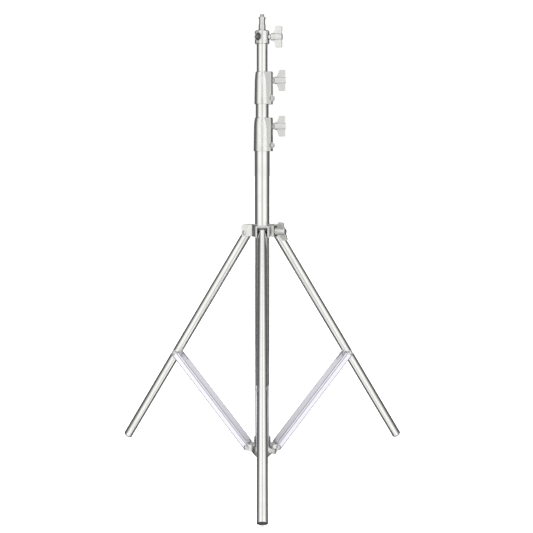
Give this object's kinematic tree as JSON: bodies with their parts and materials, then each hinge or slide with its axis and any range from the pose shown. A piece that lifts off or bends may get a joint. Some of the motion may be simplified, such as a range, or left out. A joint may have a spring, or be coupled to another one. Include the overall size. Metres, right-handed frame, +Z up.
{
  "type": "telescopic lighting stand",
  "caption": "Free-standing telescopic light stand with knob-locked column sections, a sliding yoke, folding tube legs with channel braces and a lamp spigot.",
  "frame": {"origin": "centre of the footprint box on the floor", "axes": "+Z up along the column; the front leg points along -Y; the collar knobs point along +X"},
  "size_m": [0.7242, 0.6304, 1.054],
  "materials": {
    "polished_tube": "polished stainless tube",
    "channel_aluminium": "satin anodised channel",
    "foot_rubber": "black moulded rubber",
    "knob_casting": "tumbled casting",
    "nylon": "natural nylon",
    "cast_aluminium": "satin casting",
    "spigot_steel": "turned steel",
    "plug_metal": "plated insert",
    "zinc_hardware": "zinc-plated fasteners"
  },
  "bodies": {
    "base": {"base_tube": "polished_tube", "base_tube_plug": "foot_rubber", "base_collar": "cast_aluminium", "base_collar_bolt": "zinc_hardware", "base_collar_liner": "nylon", "base_collar_brake_pad": "nylon", "hub_casting": "cast_aluminium", "hub_pins": "zinc_hardware", "hub_screw": "zinc_hardware"},
    "yoke": {"yoke_casting": "cast_aluminium", "yoke_liner": "nylon", "yoke_pins": "zinc_hardware", "yoke_brake_pad": "nylon"},
    "middle_riser": {"middle_tube": "polished_tube", "middle_tube_bush": "nylon", "middle_collar": "cast_aluminium", "middle_collar_bolt": "zinc_hardware", "middle_collar_liner": "nylon", "middle_collar_brake_pad": "nylon"},
    "top_riser": {"top_tube": "polished_tube", "top_tube_bush": "nylon", "head_casting": "cast_aluminium", "spigot": "spigot_steel"},
    "base_collar_wing_knob": {"base_collar_knob": "knob_casting", "base_collar_stud": "zinc_hardware"},
    "middle_collar_wing_knob": {"middle_collar_knob": "knob_casting", "middle_collar_stud": "zinc_hardware"},
    "head_wing_knob": {"head_knob": "knob_casting", "head_stud": "zinc_hardware"},
    "yoke_wing_knob": {"yoke_knob": "knob_casting", "yoke_stud": "zinc_hardware"},
    "leg_front": {"leg_tube_front": "polished_tube", "leg_top_plug_front": "plug_metal", "foot_plug_front": "foot_rubber"},
    "brace_front": {"brace_channel_front": "channel_aluminium", "brace_rivets_front": "zinc_hardware"},
    "leg_right": {"leg_tube_right": "polished_tube", "leg_top_plug_right": "plug_metal", "foot_plug_right": "foot_rubber"},
    "brace_right": {"brace_channel_right": "channel_aluminium", "brace_rivets_right": "zinc_hardware"},
    "leg_left": {"leg_tube_left": "polished_tube", "leg_top_plug_left": "plug_metal", "foot_plug_left": "foot_rubber"},
    "brace_left": {"brace_channel_left": "channel_aluminium", "brace_rivets_left": "zinc_hardware"}
  },
  "joints": [
    {"name": "yoke_slide", "type": "slide", "parent": "base", "child": "yoke", "axis": [0, 0, 1], "range_m": [0, 0.14935]},
    {"name": "middle_riser_slide", "type": "slide", "parent": "base", "child": "middle_riser", "axis": [0, 0, 1], "range_m": [-0.0294, 0.6]},
    {"name": "top_riser_slide", "type": "slide", "parent": "middle_riser", "child": "top_riser", "axis": [0, 0, 1], "range_m": [-0.0614, 0.6]},
    {"name": "base_collar_knob_turn", "type": "hinge", "parent": "base", "child": "base_collar_wing_knob", "pos_m": [0.02, 0.10087, 0.8007], "axis": [1, 0, 0], "range_deg": [0, 360]},
    {"name": "middle_collar_knob_turn", "type": "hinge", "parent": "middle_riser", "child": "middle_collar_wing_knob", "pos_m": [0.02, 0.10087, 0.905], "axis": [1, 0, 0], "range_deg": [0, 360]},
    {"name": "head_knob_turn", "type": "hinge", "parent": "top_riser", "child": "head_wing_knob", "pos_m": [0.01956, 0.09672, 1.0026], "axis": [0.9781, -0.2079, 0], "range_deg": [0, 360]},
    {"name": "yoke_knob_turn", "type": "hinge", "parent": "yoke", "child": "yoke_wing_knob", "pos_m": [0.01732, 0.09087, 0.55865], "axis": [0.866, -0.5, 0], "range_deg": [0, 360]},
    {"name": "leg_front_hinge", "type": "hinge", "parent": "yoke", "child": "leg_front", "pos_m": [0, 0.06137, 0.55256], "axis": [1, 0, 0], "range_deg": [0, 31.51]},
    {"name": "brace_front_hinge", "type": "hinge", "parent": "base", "child": "brace_front", "pos_m": [0, 0.06227, 0.0319], "axis": [1, 0, 0], "range_deg": [-41.71, 0]},
    {"name": "leg_right_hinge", "type": "hinge", "parent": "yoke", "child": "leg_right", "pos_m": [0.03421, 0.12062, 0.55256], "axis": [-0.5, 0.866, 0], "range_deg": [0, 31.51]},
    {"name": "brace_right_hinge", "type": "hinge", "parent": "base", "child": "brace_right", "pos_m": [0.03343, 0.12017, 0.0319], "axis": [-0.5, 0.866, 0], "range_deg": [-41.71, 0]},
    {"name": "leg_left_hinge", "type": "hinge", "parent": "yoke", "child": "leg_left", "pos_m": [-0.03421, 0.12062, 0.55256], "axis": [-0.5, -0.866, 0], "range_deg": [0, 31.51]},
    {"name": "brace_left_hinge", "type": "hinge", "parent": "base", "child": "brace_left", "pos_m": [-0.03343, 0.12017, 0.0319], "axis": [-0.5, -0.866, 0], "range_deg": [-41.71, 0]}
  ],
  "couplings": [
    {"joint": "leg_front_hinge", "follows": "yoke_slide", "rad_per_m": 3.6813},
    {"joint": "brace_front_hinge", "follows": "yoke_slide", "rad_per_m": -4.8733},
    {"joint": "leg_right_hinge", "follows": "yoke_slide", "rad_per_m": 3.6813},
    {"joint": "brace_right_hinge", "follows": "yoke_slide", "rad_per_m": -4.8733},
    {"joint": "leg_left_hinge", "follows": "yoke_slide", "rad_per_m": 3.6813},
    {"joint": "brace_left_hinge", "follows": "yoke_slide", "rad_per_m": -4.8733}
  ]
}
